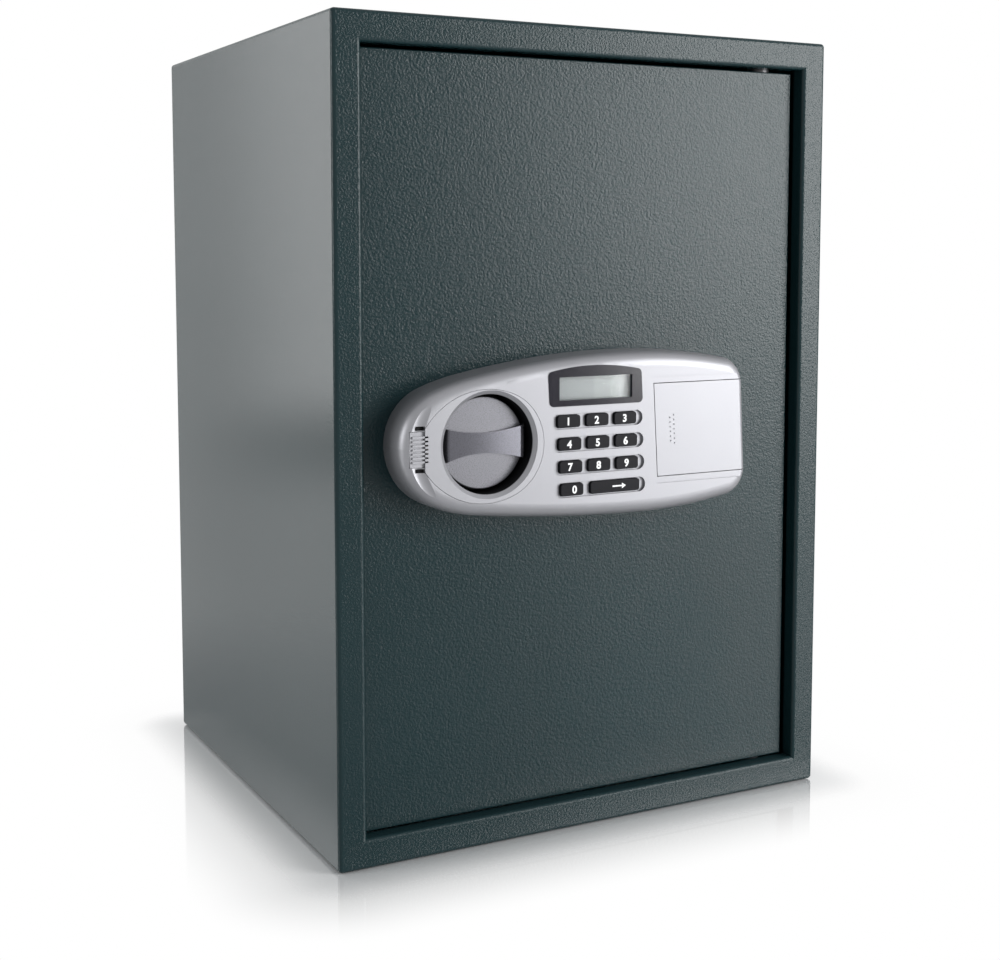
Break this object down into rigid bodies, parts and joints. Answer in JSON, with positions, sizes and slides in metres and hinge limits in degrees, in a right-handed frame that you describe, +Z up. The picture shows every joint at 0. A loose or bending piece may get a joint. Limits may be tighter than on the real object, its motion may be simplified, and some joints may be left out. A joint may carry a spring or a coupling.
{
  "type": "electronic safe",
  "caption": "Upright steel safe with a recessed hinged door, moulded control panel with keypad and display, turn knob, locking bolts, inner shelf and anchor holes.",
  "frame": {"origin": "under the middle of the whole object, on the plane it stands on", "axes": "+X to the right seen from the front, +Y into the safe, +Z up; the door and panel face -Y"},
  "size_m": [0.35, 0.3402, 0.5],
  "materials": {
    "body_paint": "textured",
    "mat_cloth": "matte",
    "bright_steel": "polished",
    "plain_steel": "satin",
    "brass": "satin",
    "black_rubber": "matte",
    "black_plastic": "matte",
    "key_black": "satin",
    "silver_plastic": "satin",
    "black_gloss": "glossy",
    "clear_lens": "clear",
    "display_glass": "satin",
    "board_green": "satin",
    "cell_wrap": "satin",
    "coil_wrap": "satin"
  },
  "bodies": {
    "cabinet": {"cabinet_shell": "body_paint", "rear_panel": "body_paint", "shelf_ledge_left": "body_paint", "shelf_ledge_right": "body_paint", "hinge_lug_upper": "body_paint", "hinge_lug_lower": "body_paint", "floor_mat": "mat_cloth"},
    "shelf": {"shelf": "body_paint"},
    "door": {"door_plate": "body_paint", "door_pan": "body_paint", "door_cover": "body_paint", "cover_screws": "bright_steel", "hinge_blocks": "plain_steel", "hinge_pin_upper": "bright_steel", "hinge_pin_lower": "bright_steel", "cable_grommet": "black_rubber", "panel_housing": "silver_plastic", "panel_screws": "bright_steel", "knob_cup": "black_plastic", "display_bezel": "black_gloss", "display_window": "clear_lens", "lcd_module": "display_glass", "circuit_board": "board_green", "keypad_mat": "black_rubber", "battery_tray": "black_plastic", "battery_cells": "cell_wrap", "battery_contacts": "bright_steel", "spindle_bush": "brass", "carriage_guides": "plain_steel", "solenoid_frame": "plain_steel", "solenoid_coil": "coil_wrap", "plunger_spring": "plain_steel", "lock_body": "bright_steel"},
    "knob": {"knob": "silver_plastic", "knob_spindle": "bright_steel", "spindle_clip": "plain_steel", "crank_plate": "plain_steel"},
    "bolts": {"bolt_carriage": "plain_steel", "locking_bolt_upper": "bright_steel", "locking_bolt_lower": "bright_steel"},
    "plunger": {"solenoid_plunger": "bright_steel"},
    "bezel": {"lock_bezel": "silver_plastic"},
    "lock": {"lock_plug": "brass", "lock_cam": "plain_steel"},
    "battery_cover": {"battery_cover": "silver_plastic"},
    "reset_button": {"reset_button": "black_plastic"},
    "key_0": {"key_0": "key_black"},
    "key_1": {"key_1": "key_black"},
    "key_2": {"key_2": "key_black"},
    "key_3": {"key_3": "key_black"},
    "key_4": {"key_4": "key_black"},
    "key_5": {"key_5": "key_black"},
    "key_6": {"key_6": "key_black"},
    "key_7": {"key_7": "key_black"},
    "key_8": {"key_8": "key_black"},
    "key_9": {"key_9": "key_black"},
    "key_start": {"key_start": "key_black"}
  },
  "joints": [
    {"name": "door_hinge", "type": "hinge", "parent": "cabinet", "child": "door", "pos_m": [0.135, -0.12985, 0.2508], "axis": [0, 0, 1], "range_deg": [0, 90]},
    {"name": "shelf_lift", "type": "slide", "parent": "cabinet", "child": "shelf", "axis": [0, 0, 1], "range_m": [0, 0.06]},
    {"name": "knob_turn", "type": "hinge", "parent": "door", "child": "knob", "pos_m": [-0.0858, -0.16985, 0.2508], "axis": [0, -1, 0], "range_deg": [0, 60]},
    {"name": "bolt_throw", "type": "slide", "parent": "door", "child": "bolts", "axis": [-1, 0, 0], "range_m": [0, 0.018]},
    {"name": "plunger_draw", "type": "slide", "parent": "door", "child": "plunger", "axis": [0, 0, -1], "range_m": [0, 0.0025], "stiffness_N_per_m": 60, "springref_m": -0.005, "deforming": ["plunger_spring"]},
    {"name": "bezel_pull", "type": "slide", "parent": "door", "child": "bezel", "axis": [0, -1, 0], "range_m": [0, 0.015]},
    {"name": "lock_turn", "type": "hinge", "parent": "door", "child": "lock", "pos_m": [-0.128, -0.16985, 0.2508], "axis": [0, 1, 0], "range_deg": [0, 90]},
    {"name": "battery_cover_slide", "type": "slide", "parent": "door", "child": "battery_cover", "axis": [1, 0, 0], "range_m": [0, 0.012]},
    {"name": "reset_press", "type": "slide", "parent": "door", "child": "reset_button", "axis": [0, -1, 0], "range_m": [0, 0.0015], "stiffness_N_per_m": 150},
    {"name": "key_0_press", "type": "slide", "parent": "door", "child": "key_0", "axis": [0, 1, 0], "range_m": [0, 0.001], "stiffness_N_per_m": 150},
    {"name": "key_1_press", "type": "slide", "parent": "door", "child": "key_1", "axis": [0, 1, 0], "range_m": [0, 0.001], "stiffness_N_per_m": 150},
    {"name": "key_2_press", "type": "slide", "parent": "door", "child": "key_2", "axis": [0, 1, 0], "range_m": [0, 0.001], "stiffness_N_per_m": 150},
    {"name": "key_3_press", "type": "slide", "parent": "door", "child": "key_3", "axis": [0, 1, 0], "range_m": [0, 0.001], "stiffness_N_per_m": 150},
    {"name": "key_4_press", "type": "slide", "parent": "door", "child": "key_4", "axis": [0, 1, 0], "range_m": [0, 0.001], "stiffness_N_per_m": 150},
    {"name": "key_5_press", "type": "slide", "parent": "door", "child": "key_5", "axis": [0, 1, 0], "range_m": [0, 0.001], "stiffness_N_per_m": 150},
    {"name": "key_6_press", "type": "slide", "parent": "door", "child": "key_6", "axis": [0, 1, 0], "range_m": [0, 0.001], "stiffness_N_per_m": 150},
    {"name": "key_7_press", "type": "slide", "parent": "door", "child": "key_7", "axis": [0, 1, 0], "range_m": [0, 0.001], "stiffness_N_per_m": 150},
    {"name": "key_8_press", "type": "slide", "parent": "door", "child": "key_8", "axis": [0, 1, 0], "range_m": [0, 0.001], "stiffness_N_per_m": 150},
    {"name": "key_9_press", "type": "slide", "parent": "door", "child": "key_9", "axis": [0, 1, 0], "range_m": [0, 0.001], "stiffness_N_per_m": 150},
    {"name": "key_start_press", "type": "slide", "parent": "door", "child": "key_start", "axis": [0, 1, 0], "range_m": [0, 0.001], "stiffness_N_per_m": 150}
  ],
  "couplings": [
    {"joint": "bolt_throw", "follows": "knob_turn", "m_per_rad": 0.017189}
  ]
}
